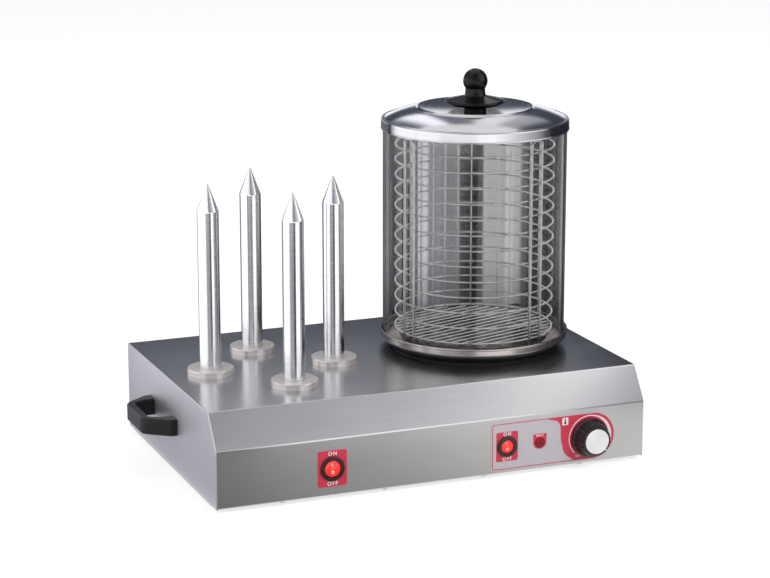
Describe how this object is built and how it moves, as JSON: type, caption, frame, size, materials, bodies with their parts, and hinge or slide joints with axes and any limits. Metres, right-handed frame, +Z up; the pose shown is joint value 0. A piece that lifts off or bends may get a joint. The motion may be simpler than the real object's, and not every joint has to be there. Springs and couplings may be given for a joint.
{
  "type": "hot dog toaster",
  "caption": "Countertop hot dog toaster: low steel housing, heated bun spikes beside a lidded glass steaming tower with a wire basket, rocker switches and a thermostat knob.",
  "frame": {"origin": "on the table, under the middle of the object's footprint", "axes": "+X to the object's right seen from the front, +Y to its back, +Z up"},
  "size_m": [0.546, 0.3528, 0.4064],
  "materials": {
    "housing_steel": "brushed stainless sheet, satin",
    "base_steel": "galvanised sheet, dull",
    "basin_steel": "deep drawn stainless, satin",
    "lid_steel": "spun stainless, polished",
    "wire_steel": "welded stainless wire, bright",
    "fastener_steel": "plated steel, bright",
    "spike_aluminium": "turned aluminium, bright",
    "cap_aluminium": "spun aluminium, satin",
    "handle_plastic": "moulded nylon, black, matt",
    "knob_plastic": "moulded phenolic, black, glossy",
    "switch_plastic": "moulded nylon, black",
    "rocker_plastic": "translucent red polycarbonate, lit from inside",
    "lamp_plastic": "dark red acrylic lens",
    "label_film": "printed polyester plate, red and pale grey",
    "terminal_plastic": "moulded nylon, white",
    "foot_rubber": "moulded rubber, black",
    "gasket_rubber": "silicone, black",
    "copper_tube": "drawn copper, dull",
    "blade_brass": "stamped brass",
    "tower_glass": "clear borosilicate glass, fire polished edges"
  },
  "bodies": {
    "base": {"housing_wrap": "housing_steel", "side_panel_left": "housing_steel", "side_panel_right": "housing_steel", "base_plate": "base_steel", "foot_screws": "fastener_steel", "base_screws": "fastener_steel", "handle_left": "handle_plastic", "handle_right": "handle_plastic", "handle_bolts": "fastener_steel", "spike_nuts": "fastener_steel", "water_basin": "basin_steel", "basin_collar": "basin_steel", "basin_gasket": "gasket_rubber", "heating_element": "fastener_steel", "heater_clamp": "base_steel", "clamp_nut": "fastener_steel", "thermal_cutout": "terminal_plastic", "left_label": "label_film", "control_panel": "label_film", "switch_body_left": "switch_plastic", "switch_body_right": "switch_plastic", "switch_terminals": "blade_brass", "lamp_body": "switch_plastic", "lamp_lens": "lamp_plastic", "thermostat_body": "terminal_plastic", "thermostat_screws": "fastener_steel", "capillary": "copper_tube", "cable_gland": "handle_plastic", "gland_nut": "handle_plastic", "earth_stud": "blade_brass", "terminal_block": "terminal_plastic", "foot_front_left": "foot_rubber", "foot_front_right": "foot_rubber", "foot_back_left": "foot_rubber", "foot_back_right": "foot_rubber", "spike_left": "spike_aluminium", "spike_flange_left": "spike_aluminium", "spike_heater_left": "fastener_steel", "spike_right": "spike_aluminium", "spike_flange_right": "spike_aluminium", "spike_heater_right": "fastener_steel", "spike_front": "spike_aluminium", "spike_flange_front": "spike_aluminium", "spike_heater_front": "fastener_steel", "spike_rear": "spike_aluminium", "spike_flange_rear": "spike_aluminium", "spike_heater_rear": "fastener_steel"},
    "glass_tower": {"glass_cylinder": "tower_glass"},
    "basket": {"basket_rings": "wire_steel", "basket_loops": "wire_steel", "basket_floor": "wire_steel", "basket_back_wires": "wire_steel"},
    "lid": {"lid_cover": "lid_steel", "lid_knob": "knob_plastic", "lid_screw": "fastener_steel"},
    "left_rocker": {"rocker_left": "rocker_plastic"},
    "right_rocker": {"rocker_right": "rocker_plastic"},
    "heat_knob": {"thermostat_knob": "knob_plastic", "knob_cap": "cap_aluminium", "thermostat_shaft": "fastener_steel"}
  },
  "joints": [
    {"name": "glass_lift", "type": "slide", "parent": "base", "child": "glass_tower", "axis": [0, 0, 1], "range_m": [0, 0.12]},
    {"name": "basket_lift", "type": "slide", "parent": "glass_tower", "child": "basket", "axis": [0, 0, 1], "range_m": [0, 0.25]},
    {"name": "lid_lift", "type": "slide", "parent": "basket", "child": "lid", "axis": [0, 0, 1], "range_m": [0, 0.12]},
    {"name": "left_switch", "type": "hinge", "parent": "base", "child": "left_rocker", "pos_m": [-0.116, -0.1554, 0.0336], "axis": [1, 0, 0], "range_deg": [0, 20]},
    {"name": "right_switch", "type": "hinge", "parent": "base", "child": "right_rocker", "pos_m": [0.0793, -0.1554, 0.0336], "axis": [1, 0, 0], "range_deg": [0, 20]},
    {"name": "heat_setting", "type": "hinge", "parent": "base", "child": "heat_knob", "pos_m": [0.175, -0.165, 0.033], "axis": [0, 1, 0], "range_deg": [-270, 0]}
  ]
}
